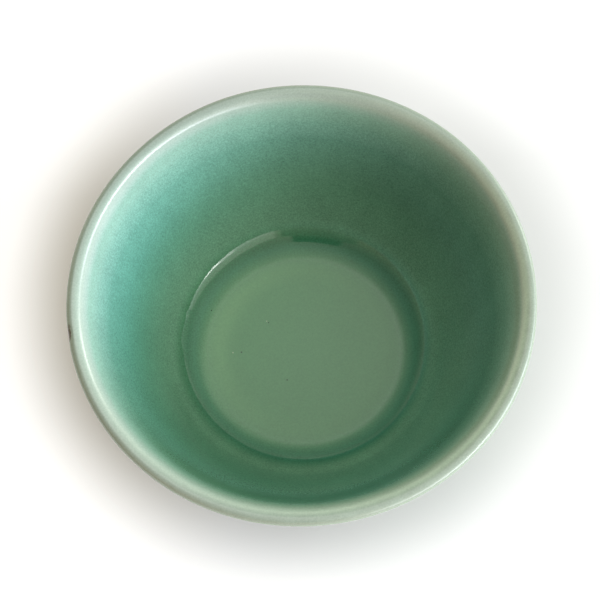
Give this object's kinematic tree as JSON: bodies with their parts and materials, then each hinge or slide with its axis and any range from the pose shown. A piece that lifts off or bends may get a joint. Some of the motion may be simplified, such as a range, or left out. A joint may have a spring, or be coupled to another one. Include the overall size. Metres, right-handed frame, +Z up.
{
  "type": "rice bowl",
  "caption": "Deep round stoneware rice bowl with a rounded lip, flat inside floor and low foot ring, glazed celadon green inside and out, for serving rice or soup.",
  "frame": {"origin": "centre of the foot ring's flat resting plane, on the bowl's turning axis", "axes": "+Z up along the turning axis, out of the bowl's mouth; X and Y lie in the resting plane and are interchangeable, because the bowl is turned"},
  "size_m": [0.12, 0.12, 0.057],
  "materials": {
    "clay": "matte",
    "foot_clay": "matte",
    "liner_glaze": "polished",
    "outside_glaze": "polished"
  },
  "bodies": {
    "root": {"stoneware_body": "clay", "foot_ring": "foot_clay", "inner_glaze": "liner_glaze", "outer_glaze": "outside_glaze"}
  },
  "joints": []
}
